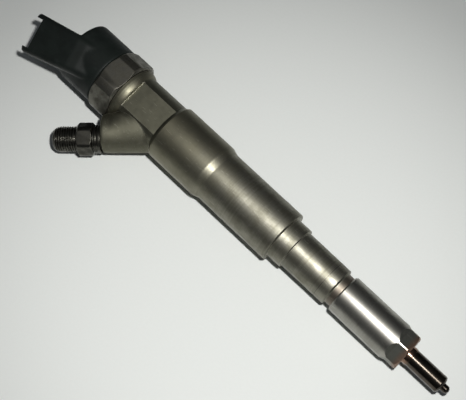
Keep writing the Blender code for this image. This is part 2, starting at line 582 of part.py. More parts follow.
# Moulded head: round cap, two-pin plug socket, return port on the far side
head = lathe("connector_head", [
    (HEAD_NUT_TO - 0.1 * MM, 0.0), (HEAD_NUT_TO - 0.1 * MM, HEAD_R - 0.3 * MM),
    (HEAD_NUT_TO - 0.4 * MM, HEAD_R), (HEAD_TOP + 1.0 * MM, HEAD_R),
    (HEAD_TOP + 0.3 * MM, HEAD_R - 0.3 * MM), (HEAD_TOP, HEAD_R - 1.0 * MM),
    (HEAD_TOP, 0.0)], OUTER_STEPS, axis)
join(head, loft("socket_form", [
    (-12.6 * MM, rounded(SOCKET_ROOT_WIDTH, SOCKET_HEIGHT, SOCKET_CORNER + 0.8 * MM,
                         extra=1.0 * MM)),
    (-4.2 * MM, rounded(SOCKET_ROOT_WIDTH, SOCKET_HEIGHT, SOCKET_CORNER + 0.6 * MM,
                        extra=SOCKET_CREST - 0.25 * MM)),
    (0.0, rounded(SOCKET_ROOT_WIDTH + 0.3 * MM, SOCKET_HEIGHT, SOCKET_CORNER + 0.4 * MM,
                  extra=SOCKET_CREST)),
    (SOCKET_MOUTH, rounded(SOCKET_WIDTH, SOCKET_HEIGHT, SOCKET_CORNER))], socket_axis))
cut(head,
    lathe("head_cavity", [
        (-164.9 * MM, 0.0), (-164.9 * MM, 12.65 * MM), (-168.32 * MM, 12.65 * MM),
        (-168.32 * MM, 11.45 * MM), (-175.04 * MM, 11.45 * MM), (-175.04 * MM, 4.15 * MM),
        (-176.87 * MM, 4.15 * MM), (-176.87 * MM, 2.95 * MM), (-180.18 * MM, 2.95 * MM),
        (-180.18 * MM, 0.0)], 32, axis),
    rod("return_port", (HEAD_TOP - OVERSHOOT, 0.0, -PORT_DROP),
        (-177.61 * MM, 0.0, -PORT_DROP), 3.7 * MM, 20, axis),
    rod("return_cross", (-178.82 * MM, 0.0, 0.5 * MM),
        (-178.82 * MM, 0.0, -PORT_DROP), 1.1 * MM, 10, axis),
    loft("socket_hollow", [
        (station, rounded(SOCKET_WIDTH - 2 * SOCKET_WALL, SOCKET_HEIGHT - 2 * SOCKET_WALL,
                          1.2 * MM)) for station in (SOCKET_FLOOR, SOCKET_MOUTH + OVERSHOOT)],
         socket_axis),
    block("latch_notch",
          (SOCKET_MOUTH - SOCKET_NOTCH, -SOCKET_WIDTH / 2 + 2.2 * MM, 2.0 * MM),
          (SOCKET_MOUTH + OVERSHOOT, SOCKET_WIDTH / 2 - 2.2 * MM, SOCKET_HEIGHT),
          socket_axis))
ring_port = lathe("return_fitting", [
    (-182.81 * MM, 2.7 * MM), (-182.81 * MM, 3.6 * MM), (-180.18 * MM, 3.6 * MM),
    (-180.18 * MM, 2.7 * MM)], 20, axis)
ring_port.location.z = -PORT_DROP
finish(ring_port, tin)


def terminal(name, side, grow):
    """One pin: a leg from the coil, a slanted bar and a blade in the socket."""
    y = 6.7 * MM * side
    turn = radians(180.0 + CONNECTOR_ANGLE)
    pin_y = -3.0 * MM * side
    root = Vector((5.0 * MM * cos(turn) - pin_y * sin(turn) - SOCKET_BACK,
                   5.0 * MM * sin(turn) + pin_y * cos(turn) - SOCKET_SIDE, SOCKET_RISE))
    thick = 0.55 * MM + grow
    bend = Vector((-177.82 * MM, y, 0.0))
    along = (root - bend).normalized() * 0.3 * MM
    leg = rod(name, (-169.37 * MM + grow, y, 0.0), bend + Vector((-0.42 * MM, 0.0, 0.0)),
              thick, 8, axis)
    slant = rod(name + "_slant", bend - along, root + along, thick, 8, axis)
    section = rounded(1.8 * MM + 2 * grow, 1.3 * MM + 2 * grow, 0.3 * MM, 2, pin_y)
    blade = loft(name + "_blade", [(4.62 * MM, section), (16.8 * MM, section)], socket_axis)
    return join(leg, slant, blade)


for side, name in ((1, "terminal_pin_a"), (-1, "terminal_pin_b")):
    finish(terminal(name, side, 0.0), tin)
    hole = terminal(name + "_hole", side, GAP)
    cut(head, hole)
finish(head, black)
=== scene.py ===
"""Looks of a common-rail diesel fuel injector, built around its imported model.

Lengths are in metres. The injector's axis runs along X below the upper flat, with the
nozzle towards +X. Stations along it are counted from the nozzle nut's tip face, and
stations of the inlet and of the plug socket along their own axes, from where each starts.
"""

from math import ceil, cos, pi, radians, sin, tan

import bmesh
import bpy
from mathutils import Matrix, Vector

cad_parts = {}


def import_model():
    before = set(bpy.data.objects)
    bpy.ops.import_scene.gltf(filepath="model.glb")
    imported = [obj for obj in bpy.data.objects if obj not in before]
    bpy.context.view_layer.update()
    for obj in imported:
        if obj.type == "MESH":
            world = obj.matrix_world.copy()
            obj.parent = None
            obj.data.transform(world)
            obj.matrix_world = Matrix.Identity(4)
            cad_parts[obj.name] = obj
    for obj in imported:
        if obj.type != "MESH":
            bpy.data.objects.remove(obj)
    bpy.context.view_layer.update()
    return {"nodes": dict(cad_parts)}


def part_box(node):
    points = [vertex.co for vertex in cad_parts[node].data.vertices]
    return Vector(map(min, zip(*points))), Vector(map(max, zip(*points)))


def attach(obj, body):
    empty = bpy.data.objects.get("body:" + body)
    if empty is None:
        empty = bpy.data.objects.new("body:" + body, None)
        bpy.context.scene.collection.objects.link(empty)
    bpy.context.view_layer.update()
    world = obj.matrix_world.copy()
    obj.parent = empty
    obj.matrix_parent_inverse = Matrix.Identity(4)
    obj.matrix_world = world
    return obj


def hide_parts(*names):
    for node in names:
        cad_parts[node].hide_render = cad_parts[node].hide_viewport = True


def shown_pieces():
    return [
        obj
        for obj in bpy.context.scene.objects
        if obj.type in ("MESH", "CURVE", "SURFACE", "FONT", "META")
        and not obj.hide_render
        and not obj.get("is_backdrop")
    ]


MM = 0.001
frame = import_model()

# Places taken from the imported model
NUT_LOW, NUT_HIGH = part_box("nozzle_nut")
SEAT_X = NUT_HIGH.x
AXIS_Z = (NUT_LOW.z + NUT_HIGH.z) / 2
FLAT_HEIGHT = -AXIS_Z
AXIS = Matrix.Translation((SEAT_X, 0.0, AXIS_Z))

# Inlet arm and plug socket
INLET_MEET = -126.15 * MM
INLET_ANGLE = 43.0
INLET = Matrix.Translation((SEAT_X + INLET_MEET, 0.0, AXIS_Z)) @ (
    Matrix.Rotation(radians(180.0 + INLET_ANGLE), 4, "Z"))
SOCKET_BACK = 180.6 * MM
SOCKET_SIDE = 3.95 * MM
SOCKET_RISE = 5.3 * MM
SOCKET_ANGLE = 15.0
SOCKET_ROLL = -9.0
SOCKET = Matrix.Translation((SEAT_X - SOCKET_BACK, -SOCKET_SIDE, AXIS_Z + SOCKET_RISE)) @ (
    Matrix.Rotation(radians(180.0 + SOCKET_ANGLE), 4, "Z")) @ (
    Matrix.Rotation(radians(SOCKET_ROLL), 4, "X"))

# Inlet thread
INLET_TIP = 51.6 * MM
THREAD_FROM = 42.3 * MM
THREAD_TO = 50.6 * MM
THREAD_PITCH = 1.0 * MM
THREAD_DEPTH = 0.6 * MM
THREAD_CREST_R = 5.35 * MM
DOME_FROM = 48.5 * MM
DOME_R = 3.0 * MM

# Outlines and sizes of the other pieces
ARM_END = 31.3 * MM
ARM_FORM = (  # mm: station, centre towards the head, half-width, half-height
    (0.0, 2.1, 7.2, 7.0), (9.65, 5.8, 11.0, 9.1), (13.85, 7.0, 12.7, 9.2),
    (18.05, 6.6, 12.3, 9.0), (22.25, 5.4, 11.1, 8.6), (24.9, 3.9, 9.6, 8.3),
    (27.4, 2.6, 8.3, 8.1), (30.3, 2.6, 8.3, 8.1), (31.0, 2.6, 8.0, 7.8),
    (31.3, 2.6, 7.3, 7.1))
SHOULDER_R = 12.8 * MM
HEAD_NUT_TO = -165.27 * MM
HEAD_NUT_R = 14.55 * MM
HEAD_NUT_AF = 27.0 * MM
HEAD_TOP = -183.12 * MM
HEAD_R = 13.8 * MM
NOZZLE_NUT_R = 8.5 * MM
NOZZLE_HEX_AF = 15.0 * MM
SOCKET_WIDTH = 17.7 * MM
SOCKET_ROOT_WIDTH = 15.75 * MM
SOCKET_HEIGHT = 11.5 * MM
SOCKET_CREST = 2.85 * MM
SOCKET_CORNER = 2.4 * MM
SOCKET_MOUTH = 21.79 * MM
SOCKET_WALL = 1.5 * MM
PORT_DROP = 6.6 * MM
OVERSHOOT = 1.0 * MM
TURNED_STEPS = 160


# --- Shapes -----------------------------------------------------------------------------

def mesh_object(name, verts, faces, place):
    """Makes an object from its corners and faces, with the faces turned outwards."""
    mesh = bpy.data.meshes.new(name)
    mesh.from_pydata([tuple(v) for v in verts], [], faces)
    work = bmesh.new()
    work.from_mesh(mesh)
    bmesh.ops.recalc_face_normals(work, faces=work.faces)
    work.to_mesh(mesh)
    work.free()
    obj = bpy.data.objects.new(name, mesh)
    bpy.context.scene.collection.objects.link(obj)
    obj.matrix_world = place
    return obj


def eased(points, size=0.15 * MM, steps=3):
    """Rounds a closed outline's corners. A point is (station, radius) or has its own size."""
    outline = []
    for i, point in enumerate(points):
        here = Vector(point[:2])
        ease = point[2] if len(point) > 2 else size
        back = Vector(points[i - 1][:2]) - here
        ahead = Vector(points[(i + 1) % len(points)][:2]) - here
        angle = back.angle(ahead, pi)
        if here.y == 0.0 or ease == 0.0 or angle > radians(178.0):
            outline.append((here.x, here.y))
            continue
        reach = min(ease / tan(angle / 2), 0.45 * back.length, 0.45 * ahead.length)
        start = here + back.normalized() * reach
        end = here + ahead.normalized() * reach
        for k in range(steps + 1):
            t = k / steps
            spot = start * (1 - t) ** 2 + here * (2 * t * (1 - t)) + end * t ** 2
            outline.append((spot.x, spot.y))
    return outline


def lathe(name, profile, place=AXIS, steps=TURNED_STEPS, turn=0.0, relief=None):
    """Turns a closed (station, radius) outline about X. relief(station, angle) adds height."""
    verts, rings, faces = [], [], []
    for station, radius in profile:
        if radius == 0.0:
            rings.append([len(verts)] * steps)
            verts.append((station, 0.0, 0.0))
            continue
        rings.append(range(len(verts), len(verts) + steps))
        for i in range(steps):
            angle = 2 * pi * i / steps + turn
            out = radius + (relief(station, angle) if relief else 0.0)
            verts.append((station, out * cos(angle), out * sin(angle)))
    for one, two in zip(rings, rings[1:] + rings[:1]):
        for i in range(steps):
            j = (i + 1) % steps
            corners = list(dict.fromkeys((one[i], one[j], two[j], two[i])))
            if len(corners) > 2:
                faces.append(corners)
    return mesh_object(name, verts, faces, place)


def prism(name, outline, low, high, place=AXIS):
    """A flat outline in the place's XY plane, raised from low to high."""
    count = len(outline)
    verts = [(x, y, low) for x, y in outline] + [(x, y, high) for x, y in outline]
    faces = [list(range(count)), list(range(count, 2 * count))]
    for i in range(count):
        j = (i + 1) % count
        faces.append([i, j, count + j, count + i])
    return mesh_object(name, verts, faces, place)


def block(name, low, high, place=AXIS):
    """A box between two opposite corners."""
    outline = [(low[0], low[1]), (high[0], low[1]), (high[0], high[1]), (low[0], high[1])]
    return prism(name, outline, low[2], high[2], place)


def loft(name, sections, place):
    """Carries (y, z) outlines of one point count through stations along X."""
    count = len(sections[0][1])
    last = count * (len(sections) - 1)
    verts = [(station, y, z) for station, outline in sections for y, z in outline]
    faces = [list(range(count)), list(range(last, last + count))]
    for start in range(0, last, count):
        for i in range(count):
            j = (i + 1) % count
            faces.append([start + i, start + j, start + count + j, start + count + i])
    return mesh_object(name, verts, faces, place)


def rounded(width, height, corner, points=8, shift=0.0, extra=0.0):
    """A rounded rectangle's outline as (y, z) pairs, its top side raised by extra."""
    outline = []
    for k in range(4):
        cy = shift + (width / 2 - corner) * (1, -1, -1, 1)[k]
        cz = (height / 2 - corner) * (1, 1, -1, -1)[k] + extra * (1, 1, 0, 0)[k]
        for i in range(points + 1):
            angle = pi / 2 * (k + i / points)
            outline.append((cy + corner * cos(angle), cz + corner * sin(angle)))
    return outline


def oval(centre, half_width, half_height, points=72):
    """An ellipse's outline as (y, z) pairs."""
    return [(centre + half_width * cos(2 * pi * i / points),
             half_height * sin(2 * pi * i / points)) for i in range(points)]


def rod(name, start, end, radius, place=AXIS, steps=24):
    """A straight round bar between two points."""
    start, end = Vector(start), Vector(end)
    way = (end - start).normalized()
    side = way.orthogonal().normalized()
    other = way.cross(side)
    verts = []
    for centre in (start, end):
        for i in range(steps):
            angle = 2 * pi * i / steps
            verts.append(centre + radius * (cos(angle) * side + sin(angle) * other))
    faces = [list(range(steps)), list(range(steps, 2 * steps))]
    for i in range(steps):
        j = (i + 1) % steps
        faces.append([i, j, steps + j, steps + i])
    return mesh_object(name, verts, faces, place)


def bake(obj):
    """Keeps the mesh that the modifiers make, and drops them."""
    graph = bpy.context.evaluated_depsgraph_get()
    made = bpy.data.meshes.new_from_object(obj.evaluated_get(graph))
    obj.modifiers.clear()
    obj.data = made
    return obj


def combine(obj, operation, *tools):
    """Applies a Boolean with each helper piece, then removes the helper."""
    for tool in tools:
        step = obj.modifiers.new(tool.name, "BOOLEAN")
        step.operation = operation
        step.solver = "EXACT"
        step.object = tool
        bpy.context.view_layer.update()
        bake(obj)
        bpy.data.objects.remove(tool, do_unlink=True)
    return obj


def moulded(obj, voxel, rounds):
    """Melts a shape's corners and joints together, as a casting or moulding has them."""
    melt = obj.modifiers.new("melt", "REMESH")
    melt.mode = "VOXEL"
    melt.voxel_size = voxel
    soften = obj.modifiers.new("soften", "SMOOTH")
    soften.factor = 0.5
    soften.iterations = rounds
    bpy.context.view_layer.update()
    return bake(obj)


def hexagon(name, across_flats, low, high, place=AXIS, turn=0.0):
    """A hexagonal bar along X; with no turn, a corner faces +Z."""
    radius = across_flats / 2 / cos(pi / 6)
    return lathe(name, [(low, 0.0), (low, radius), (high, radius), (high, 0.0)], place, 6,
                 pi / 2 + radians(turn))


def finish(obj, look, body, node, smooth=32.0):
    """Gives a piece its material and its CAD body, in the place of its CAD node."""
    obj.data.transform(obj.matrix_world)
    obj.matrix_world = Matrix.Identity(4)
    obj.data.materials.clear()
    obj.data.materials.append(look)
    for face in obj.data.polygons:
        face.use_smooth = True
        face.material_index = 0
    obj.data.set_sharp_from_angle(angle=radians(smooth))
    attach(obj, body)
    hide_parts(node)
    return obj


# --- Materials --------------------------------------------------------------------------

MIX_ONE, MIX_TWO, MIX_RESULT = 6, 7, 2  # the Mix node's colour sockets


def add(tree, kind, inputs=None, output=0, **settings):
    """Adds a node, sets or links its inputs, and returns one of its outputs."""
    node = tree.nodes.new(kind)
    for key, value in settings.items():
        setattr(node, key, value)
    for key, value in (inputs or {}).items():
        if isinstance(value, bpy.types.NodeSocket):
            tree.links.new(value, node.inputs[key])
        else:
            node.inputs[key].default_value = value
    return node.outputs[output]


def calc(tree, operation, one, two=0.0):
    return add(tree, "ShaderNodeMath", {0: one, 1: two}, operation=operation)


def fit(tree, value, low, high, out_low=0.0, out_high=1.0):
    """Carries low..high smoothly to out_low..out_high."""
    return add(tree, "ShaderNodeMapRange",
               {"Value": value, "From Min": low, "From Max": high, "To Min": out_low,
                "To Max": out_high}, interpolation_type="SMOOTHSTEP")


def between(tree, value, low, high, soft):
    """One where the value lies from low to high, fading over soft outside it."""
    rise = fit(tree, value, low - soft, low)
    fall = fit(tree, value, high, high + soft, 1.0, 0.0)
    return calc(tree, "MULTIPLY", rise, fall)


def blend_colour(tree, share, one, two):
    """Share 0 gives the first colour and share 1 the second."""
    def full(colour):
        return colour if isinstance(colour, bpy.types.NodeSocket) else (*colour, 1.0)
    return add(tree, "ShaderNodeMix",
               {0: share, MIX_ONE: full(one), MIX_TWO: full(two)}, MIX_RESULT,
               data_type="RGBA")


def noise(tree, vector, scale, detail=4.0, rough=0.55):
    return add(tree, "ShaderNodeTexNoise", {"Vector": vector, "Scale": scale,
                                            "Detail": detail, "Roughness": rough})


def streaks(tree, station, scale, detail=3.0):
    """Noise that changes along the axis only, as a turning tool's marks do."""
    return add(tree, "ShaderNodeTexNoise", {"W": station, "Scale": scale, "Detail": detail},
               noise_dimensions="1D")


def scratches(tree, mm, turn, stretch, scale, cut):
    """Thin straight scratches, nearly all running one way."""
    turned = add(tree, "ShaderNodeMapping", {"Vector": mm, "Rotation": turn,
                                             "Scale": stretch})
    lines = noise(tree, turned, scale, 1.5, 0.4)
    return fit(tree, lines, cut, cut + 0.05)


def texture_space(name, place):
    """An empty that material coordinates are measured from."""
    made = bpy.data.objects.new(name, None)
    bpy.context.scene.collection.objects.link(made)
    made.matrix_world = place
    return made


ON_AXIS = texture_space("axis_space", AXIS)
ON_INLET = texture_space("inlet_space", INLET)


class Surface:
    """A material being built: its tree, its place in millimetres and its edges."""

    def __init__(self, name, edge=0.18 * MM, space=None):
        """Edge is the width of the worn band, which in turned metal also carries painted
        highlight lines, and space what coordinates are taken from.
        """
        self.look = bpy.data.materials.new(name)
        self.look.use_nodes = True
        self.tree = self.look.node_tree
        self.shader = self.tree.nodes["Principled BSDF"]
        place = add(self.tree, "ShaderNodeTexCoord", output="Object", object=space)
        self.mm = add(self.tree, "ShaderNodeVectorMath", {0: place, "Scale": 1.0 / MM},
                      operation="SCALE")
        parts = self.tree.nodes.new("ShaderNodeSeparateXYZ")
        self.tree.links.new(self.mm, parts.inputs[0])
        self.x, self.y, self.z = parts.outputs
        self.radius = calc(self.tree, "SQRT", calc(
            self.tree, "ADD", calc(self.tree, "MULTIPLY", self.y, self.y),
            calc(self.tree, "MULTIPLY", self.z, self.z)))
        self.soft_normal = add(self.tree, "ShaderNodeBevel", {"Radius": edge}, samples=6)
        true_normal = add(self.tree, "ShaderNodeNewGeometry", output="True Normal")
        meet = add(self.tree, "ShaderNodeVectorMath",
                   {0: self.soft_normal, 1: true_normal}, "Value", operation="DOT_PRODUCT")
        self.edge = fit(self.tree, meet, 0.998, 0.93)

    def done(self, colour, roughness, bump_height, metallic, strength=0.4, depth=0.02 * MM,
             **extra):
        """Joins the layers to the shader. Extra sets its other inputs by name."""
        links = self.tree.links
        links.new(colour, self.shader.inputs["Base Color"])
        links.new(roughness, self.shader.inputs["Roughness"])
        bump = add(self.tree, "ShaderNodeBump", {
            "Strength": strength, "Distance": depth, "Height": bump_height,
            "Normal": self.soft_normal})
        links.new(bump, self.shader.inputs["Normal"])
        self.shader.inputs["Metallic"].default_value = metallic
        for key, value in extra.items():
            socket = self.shader.inputs[key.replace("_", " ")]
            if isinstance(value, bpy.types.NodeSocket):
                links.new(value, socket)
            else:
                socket.default_value = value
        return self.look


def turned_metal(name, light, dark, rough, marks=1.0, wear=0.6, aniso=0.5, spread=0.10,
                 tint=None, space=None, grit=0.0, wear_and_highlight_gain=1.35):
    """Turned steel: fine rings, mottled tone, a few scratches, and edges lighter by wear and by
    painted highlight lines.

    tint(face, colour) gives the colour of special zones, and how much rougher they are.
    """
    face = Surface(name, space=space)
    tree = face.tree
    fine = streaks(tree, face.x, 14.0)
    broad = streaks(tree, face.x, 1.3)
    mottle = noise(tree, face.mm, 0.22, 5.0)
    grain = noise(tree, face.mm, 9.0, 3.0)
    rings = calc(tree, "ADD", calc(tree, "MULTIPLY", fine, 0.6),
                 calc(tree, "MULTIPLY", broad, 0.4))
    score = scratches(tree, face.mm, (0.3, 0.5, 0.9), (0.25, 6.0, 6.0), 0.9, 0.70)
    tone = calc(tree, "ADD", calc(tree, "MULTIPLY", rings, 0.45),
                calc(tree, "MULTIPLY", mottle, 0.55))
    colour = blend_colour(tree, fit(tree, tone, 0.36, 0.64), dark, light)
    dull = 0.0
    if tint:
        colour, dull = tint(face, colour)
    # Edges lighter by wear; a high gain also paints highlight lines along the bevels. The
    # scratches take the same light colour.
    bright = tuple(min(1.0, wear_and_highlight_gain * c) for c in light)
    colour = blend_colour(tree, calc(tree, "MULTIPLY", face.edge, wear), colour, bright)
    colour = blend_colour(tree, calc(tree, "MULTIPLY", score, 0.5), colour, bright)
    roughness = fit(tree, tone, 0.3, 0.7, rough + spread, rough - spread)
    roughness = calc(tree, "ADD", roughness, calc(tree, "MULTIPLY", grain, 0.06))
    roughness = calc(tree, "ADD", roughness, dull)
    height = calc(tree, "ADD", calc(tree, "MULTIPLY", fine, 0.8 * marks),
                  calc(tree, "MULTIPLY", grain, 0.35))
    height = calc(tree, "SUBTRACT", height, calc(tree, "MULTIPLY", score, 0.5))
    if grit:
        rub = scratches(tree, face.mm, (0.1, 0.2, 0.8), (0.15, 1.7, 1.7), 1.0, 0.54)
        coarse = calc(tree, "ADD", noise(tree, face.mm, 1.3, 3.0),
                      calc(tree, "MULTIPLY", rub, 0.4))
        height = calc(tree, "ADD", height, calc(tree, "MULTIPLY", coarse, grit))
    along = add(tree, "ShaderNodeCombineXYZ", {"X": 1.0})
    way = add(tree, "ShaderNodeVectorTransform", {"Vector": along}, vector_type="VECTOR",
              convert_from="OBJECT", convert_to="WORLD")
    return face.done(colour, roughness, height, 1.0, 0.35, 0.012 * MM, Anisotropic=aniso,
                     Tangent=way)


def plain_metal(name, light, dark, rough, wear=0.6, pits=0.0, spread=0.08, space=None):
    """Blackened or plated steel without turning marks: mottled, pitted, worn on its edges."""
    face = Surface(name, space=space)
    tree = face.tree
    mottle = noise(tree, face.mm, 0.35, 6.0, 0.62)
    grain = noise(tree, face.mm, 7.0, 4.0)
    specks = fit(tree, noise(tree, face.mm, 2.6, 2.0), 0.60, 0.68)
    score = scratches(tree, face.mm, (0.8, 0.2, 0.4), (0.3, 5.0, 5.0), 1.1, 0.71)
    colour = blend_colour(tree, fit(tree, mottle, 0.36, 0.64), dark, light)
    colour = blend_colour(tree, calc(tree, "MULTIPLY", specks, pits), colour,
                          tuple(0.45 * c for c in dark))
    bright = tuple(min(1.0, 1.5 * c) for c in light)
    worn = calc(tree, "MULTIPLY", face.edge, fit(tree, grain, 0.35, 0.6, 0.4 * wear, wear))
    colour = blend_colour(tree, worn, colour, bright)
    colour = blend_colour(tree, calc(tree, "MULTIPLY", score, 0.35), colour, bright)
    roughness = fit(tree, mottle, 0.3, 0.7, rough + spread, rough - spread)
    height = calc(tree, "SUBTRACT", grain, calc(tree, "MULTIPLY", specks, pits))
    return face.done(colour, roughness, height, 1.0, 0.4, 0.012 * MM)


def plastic(name, light, dark, rough, worn, grain_scale=5.0, space=None, gloss=0.5):
    """Moulded plastic: fine spark texture, scuffs and paler corners."""
    face = Surface(name, 0.3 * MM, space)
    tree = face.tree
    mottle = noise(tree, face.mm, 0.16, 4.0)
    grain = noise(tree, face.mm, grain_scale, 2.0)
    scuff = fit(tree, noise(tree, face.mm, 0.55, 5.0, 0.7), 0.60, 0.72)
    score = scratches(tree, face.mm, (0.2, 0.6, 1.2), (0.3, 5.0, 5.0), 0.8, 0.72)
    colour = blend_colour(tree, fit(tree, mottle, 0.35, 0.65), dark, light)
    marks = calc(tree, "MAXIMUM", calc(tree, "MULTIPLY", scuff, 0.35),
                 calc(tree, "MULTIPLY", face.edge, 0.45))
    marks = calc(tree, "MAXIMUM", marks, calc(tree, "MULTIPLY", score, 0.3))
    colour = blend_colour(tree, marks, colour, worn)
    roughness = fit(tree, mottle, 0.3, 0.7, rough + 0.07, rough - 0.05)
    roughness = calc(tree, "ADD", roughness, calc(tree, "MULTIPLY", scuff, 0.12))
    return face.done(colour, roughness, grain, 0.0, 0.25, 0.02 * MM, Specular_IOR_Level=gloss)


def body_tint(face, colour):
    """The oily head end, the forged arm, the milled flats and the bands at the tip end."""
    tree = face.tree
    oily = fit(tree, face.x, -80.0, -128.0)
    colour = blend_colour(tree, calc(tree, "MULTIPLY", oily, 0.8), colour,
                          (0.215, 0.203, 0.145))
    arm = calc(tree, "MULTIPLY", fit(tree, face.x, -130.4, -131.5),
               fit(tree, face.radius, 12.0, 13.1))
    forged = calc(tree, "MAXIMUM", arm, between(tree, face.x, -150.5, -131.0, 0.4))
    grey = blend_colour(tree, noise(tree, face.mm, 0.5, 5.0), (0.10, 0.098, 0.072),
                        (0.175, 0.172, 0.132))
    colour = blend_colour(tree, calc(tree, "MULTIPLY", forged, 0.8), colour, grey)
    band = between(tree, face.x, -59.4, -53.5, 0.1)
    colour = blend_colour(tree, calc(tree, "MULTIPLY", band, 0.6), colour,
                          (0.15, 0.145, 0.12))
    ring = between(tree, face.x, -36.6, -32.0, 0.2)
    colour = blend_colour(tree, calc(tree, "MULTIPLY", ring, 0.85), colour,
                          (0.175, 0.148, 0.122))
    line = between(tree, face.x, -41.98, -41.86, 0.05)
    colour = blend_colour(tree, line, colour, (0.05, 0.045, 0.04))
    return colour, calc(tree, "MULTIPLY", arm, 0.12)


def nut_tint(face, colour):
    """The wrench flats, duller than the round, browned by heat towards the tip."""
    tree = face.tree
    flat = calc(tree, "MULTIPLY", fit(tree, face.radius, 8.49, 8.44),
                fit(tree, face.x, -7.8, -7.1))
    colour = blend_colour(tree, calc(tree, "MULTIPLY", flat, 0.8), colour,
                          (0.15, 0.155, 0.135))
    hot = fit(tree, face.x, -3.2, -0.2)
    colour = blend_colour(tree, calc(tree, "MULTIPLY", hot, 0.75), colour,
                          (0.30, 0.17, 0.11))
    return colour, calc(tree, "MULTIPLY", flat, 0.16)


def shaft_tint(face, colour):
    """The nozzle shaft's oxide, redder and lighter beside the nut."""
    tree = face.tree
    near = fit(tree, face.x, 3.0, 0.2)
    return blend_colour(tree, calc(tree, "MULTIPLY", near, 0.6), colour,
                        (0.40, 0.24, 0.17)), 0.0


# The last number of each is the edge gain: edges lighter by wear, and on the satin body also
# painted highlight lines along its bevels.
satin = turned_metal("satin_body_steel", (0.265, 0.256, 0.214), (0.165, 0.158, 0.122), 0.43,
                     0.8, 0.8, 0.0, 0.05, body_tint, ON_AXIS, 2.6, 2.4)
polished = turned_metal("polished_nut_steel", (0.34, 0.33, 0.30), (0.26, 0.251, 0.226), 0.36,
                        0.5, 0.6, 0.2, 0.05, nut_tint, ON_AXIS, 0.5, 2.0)
oxide = turned_metal("oxidised_nozzle_steel", (0.095, 0.08, 0.065), (0.045, 0.038, 0.032),
                     0.22, 0.6, 0.3, tint=shaft_tint, spread=0.05, space=ON_AXIS)
ground = turned_metal("ground_steel", (0.68, 0.67, 0.65), (0.55, 0.54, 0.52), 0.22)
fitting_black = plain_metal("black_fitting_steel", (0.11, 0.106, 0.092),
                            (0.05, 0.048, 0.04), 0.35, 0.8, 0.4, space=ON_INLET)
nut_brown = plain_metal("brown_union_nut_steel", (0.20, 0.192, 0.165), (0.12, 0.115, 0.094),
                        0.46, 0.9, 0.35, space=ON_AXIS)
spring_steel = plain_metal("spring_steel", (0.38, 0.38, 0.39), (0.26, 0.26, 0.27), 0.30)
soft_iron = plain_metal("soft_iron", (0.32, 0.31, 0.30), (0.20, 0.20, 0.19), 0.55, 0.5, 0.6)
copper = plain_metal("enamelled_copper", (0.60, 0.24, 0.10), (0.40, 0.13, 0.05), 0.32)
tin = plain_metal("tinned_brass", (0.72, 0.69, 0.60), (0.58, 0.54, 0.44), 0.28)
black = plastic("black_connector_plastic", (0.011, 0.0145, 0.013), (0.007, 0.0095, 0.0085),
                0.50, (0.036, 0.042, 0.04), space=ON_AXIS, gloss=0.22)
nylon = plastic("natural_nylon", (0.62, 0.58, 0.48), (0.50, 0.46, 0.37), 0.50,
                (0.72, 0.70, 0.62))
rubber = plastic("seal_rubber", (0.030, 0.029, 0.028), (0.018, 0.018, 0.018), 0.62,
                 (0.07, 0.07, 0.07))


# --- Pieces -----------------------------------------------------------------------------

def injector_body():
    arm = loft("arm_form", [
        (station * MM, oval(-shift * MM, width * MM, height * MM))
        for station, shift, width, height in ARM_FORM], INLET)
    moulded(arm, 0.35 * MM, 10)
    body = lathe("body_shell", eased([
        (-18.38 * MM, 0.0), (-18.38 * MM, 6.75 * MM), (-18.9 * MM, 7.25 * MM),
        (-37.17 * MM, 7.25 * MM, 0.3 * MM), (-37.17 * MM, 8.05 * MM, 0.1 * MM),
        (-37.59 * MM, 8.45 * MM, 0.3 * MM), (-59.43 * MM, 8.55 * MM, 0.1 * MM),
        (-59.54 * MM, 9.3 * MM, 0.05 * MM), (-59.75 * MM, 9.5 * MM, 0.15 * MM),
        (-66.26 * MM, 9.5 * MM, 0.1 * MM), (-66.36 * MM, 11.35 * MM, 0.1 * MM),
        (-66.68 * MM, 11.65 * MM, 0.2 * MM), (-103.01 * MM, 11.65 * MM, 2.5 * MM),
        (-105.95 * MM, 12.65 * MM, 2.5 * MM), (-130.2 * MM, 12.65 * MM, 0.4 * MM),
        (-131.85 * MM, 11.5 * MM, 0.5 * MM), (-150.15 * MM, 11.5 * MM, 1.5 * MM),
        (-150.99 * MM, 12.0 * MM, 0.8 * MM), (-152.15 * MM, 12.55 * MM, 0.8 * MM),
        (-153.3 * MM, SHOULDER_R), (-161.7 * MM, SHOULDER_R), (-161.7 * MM, 0.0)]))
    combine(body, "UNION", arm)
    combine(body, "DIFFERENCE", lathe("nut_relief", [
        (-154.46 * MM, 12.3 * MM), (-154.46 * MM, 24.0 * MM), (-168.0 * MM, 24.0 * MM),
        (-168.0 * MM, 10.7 * MM), (-162.75 * MM, 10.7 * MM), (-161.07 * MM, 12.3 * MM)]))
    for side in (1, -1):
        low, high = sorted((side * FLAT_HEIGHT, side * 2 * FLAT_HEIGHT))
        combine(body, "DIFFERENCE", block("flat_cut", (-150.55 * MM, -11.65 * MM, low),
                                          (-131.85 * MM, 11.65 * MM, high)))
    combine(body, "DIFFERENCE", lathe("stepped_bore", [
        (-17.33 * MM, 0.0), (-17.33 * MM, 3.9 * MM), (-52.5 * MM, 3.9 * MM),
        (-52.5 * MM, 2.3 * MM), (-132.83 * MM, 2.3 * MM), (-132.83 * MM, 5.0 * MM),
        (-145.43 * MM, 5.0 * MM), (-145.43 * MM, 7.2 * MM), (-154.88 * MM, 7.2 * MM),
        (-154.88 * MM, 10.5 * MM), (-162.75 * MM, 10.5 * MM), (-162.75 * MM, 0.0)], steps=96),
        lathe("inlet_bore", [
            (6.29 * MM, 0.0), (6.29 * MM, 1.1 * MM), (18.05 * MM, 1.1 * MM),
            (18.05 * MM, 4.2 * MM), (ARM_END + OVERSHOOT, 4.2 * MM),
            (ARM_END + OVERSHOOT, 0.0)], INLET, 72))
    finish(body, satin, "injector", "injector_body")


